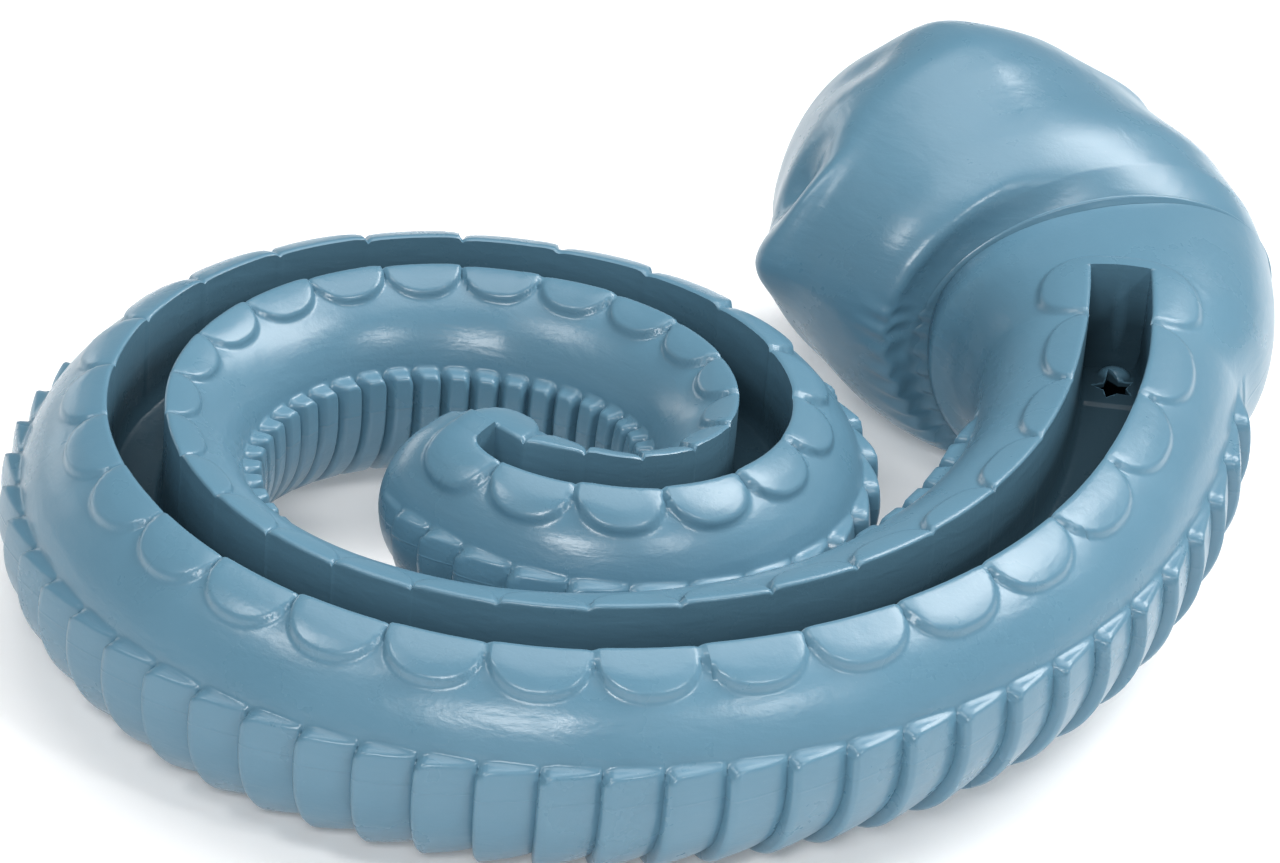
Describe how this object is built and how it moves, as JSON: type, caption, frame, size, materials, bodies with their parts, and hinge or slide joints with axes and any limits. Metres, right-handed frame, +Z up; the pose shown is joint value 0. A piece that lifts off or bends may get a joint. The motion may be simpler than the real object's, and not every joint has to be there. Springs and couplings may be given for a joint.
{
  "type": "coiled snake treat toy",
  "caption": "Coiled snake-shaped dog treat toy in soft blue-grey rubber, with an open treat channel along its back and a hollow head.",
  "frame": {"origin": "on the table, under the middle of the whole toy's bounding box", "axes": "+Z up from the table; +Y from the front of the coil towards the end that the head is at; +X to the side where the neck rises"},
  "size_m": [0.1764, 0.1868, 0.0586],
  "materials": {
    "rubber": "semi-gloss"
  },
  "bodies": {
    "head_and_neck": {"head": "rubber", "neck": "rubber"},
    "coil_section_1": {"coil_section_1": "rubber"},
    "coil_section_2": {"coil_section_2": "rubber"},
    "coil_section_3": {"coil_section_3": "rubber"},
    "coil_section_4": {"coil_section_4": "rubber"},
    "coil_section_5": {"coil_section_5": "rubber"},
    "coil_section_6": {"coil_section_6": "rubber"},
    "tail": {"tail": "rubber"}
  },
  "joints": [
    {"name": "bend_1", "type": "hinge", "parent": "head_and_neck", "child": "coil_section_1", "pos_m": [0.07797, -0.01357, 0.0236], "axis": [-0.0287, -0.0487, 0.9984], "range_deg": [0, 12], "stiffness_Nm_per_rad": 4.5},
    {"name": "bend_2", "type": "hinge", "parent": "coil_section_1", "child": "coil_section_2", "pos_m": [0.04215, -0.07237, 0.01939], "axis": [-0.0287, -0.0487, 0.9984], "range_deg": [0, 12], "stiffness_Nm_per_rad": 4.2},
    {"name": "bend_3", "type": "hinge", "parent": "coil_section_2", "child": "coil_section_3", "pos_m": [-0.02443, -0.09332, 0.01614], "axis": [-0.0287, -0.0487, 0.9984], "range_deg": [0, 12], "stiffness_Nm_per_rad": 4},
    {"name": "bend_4", "type": "hinge", "parent": "coil_section_3", "child": "coil_section_4", "pos_m": [-0.08351, -0.05053, 0.01621], "axis": [-0.0287, -0.0487, 0.9984], "range_deg": [0, 12], "stiffness_Nm_per_rad": 4},
    {"name": "bend_5", "type": "hinge", "parent": "coil_section_4", "child": "coil_section_5", "pos_m": [-0.06677, 0.02205, 0.01991], "axis": [-0.0287, -0.0487, 0.9984], "range_deg": [0, 12], "stiffness_Nm_per_rad": 4},
    {"name": "inner_lift", "type": "hinge", "parent": "coil_section_5", "child": "coil_section_6", "pos_m": [-0.00296, 0.01086, 0.0379], "axis": [-0.5783, -0.8139, -0.0563], "range_deg": [0, 12], "stiffness_Nm_per_rad": 3.8},
    {"name": "tail_curl", "type": "hinge", "parent": "coil_section_6", "child": "tail", "pos_m": [-0.00269, -0.02575, 0.02392], "axis": [-0.0287, -0.0487, 0.9984], "range_deg": [-15, 0], "stiffness_Nm_per_rad": 3}
  ]
}
